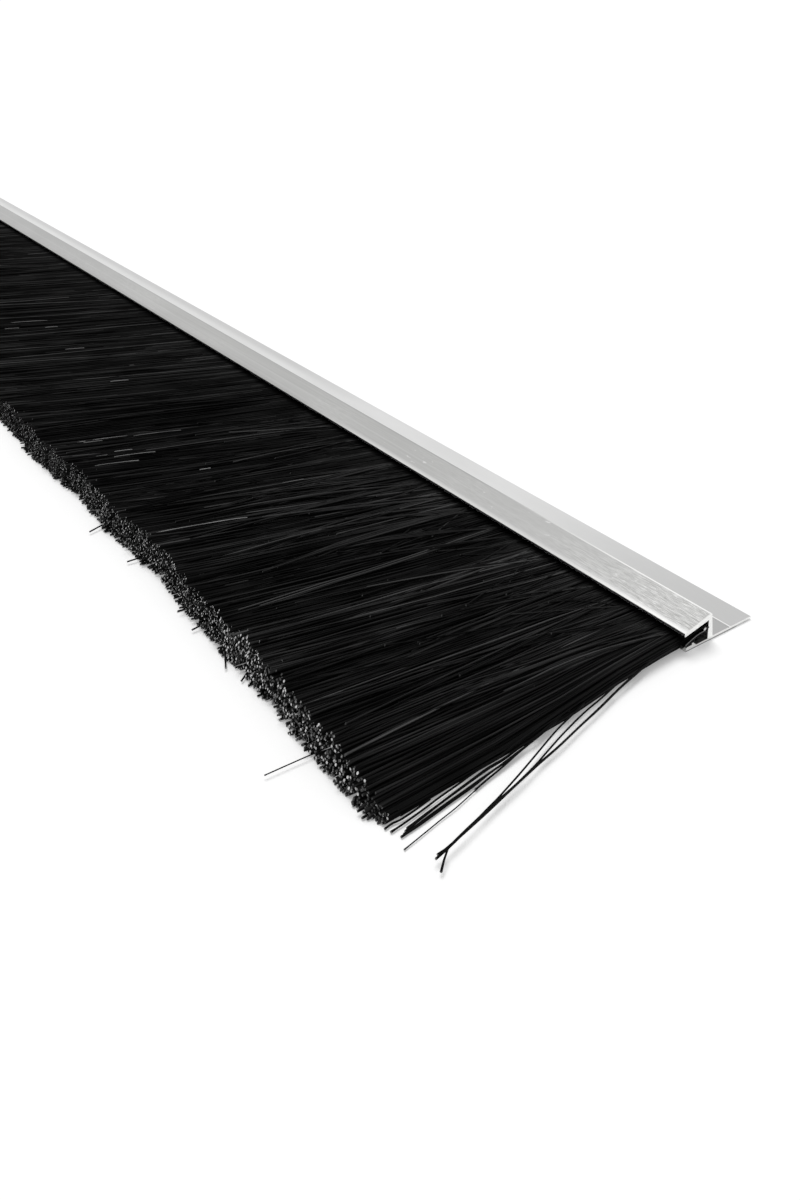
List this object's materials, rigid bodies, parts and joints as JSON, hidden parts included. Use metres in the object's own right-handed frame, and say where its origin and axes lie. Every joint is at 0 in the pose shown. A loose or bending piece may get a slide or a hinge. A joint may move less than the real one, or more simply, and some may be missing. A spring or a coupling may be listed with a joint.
{
  "type": "door bottom brush",
  "caption": "Aluminium extrusion with a flat fixing flange and a sloping hood that grips a long row of stiff black bristles, for sealing under a door or gate.",
  "frame": {"origin": "middle of the holder's flat fixing face, at half its length and half its width", "axes": "+X along the strip towards the open end with the splayed bristles, +Y across it from the bristles to the flange's free edge, +Z out of the fixing face"},
  "size_m": [1.0277, 0.1412, 0.0099],
  "materials": {
    "aluminium": "mill finish with fine lengthwise drawing lines",
    "wire": "bright drawn wire",
    "bristles": "smooth extruded nylon filament"
  },
  "bodies": {
    "root": {"holder_profile": "aluminium", "core_wire": "wire", "bristle_pack": "bristles", "stray_bristles": "bristles"}
  },
  "joints": []
}
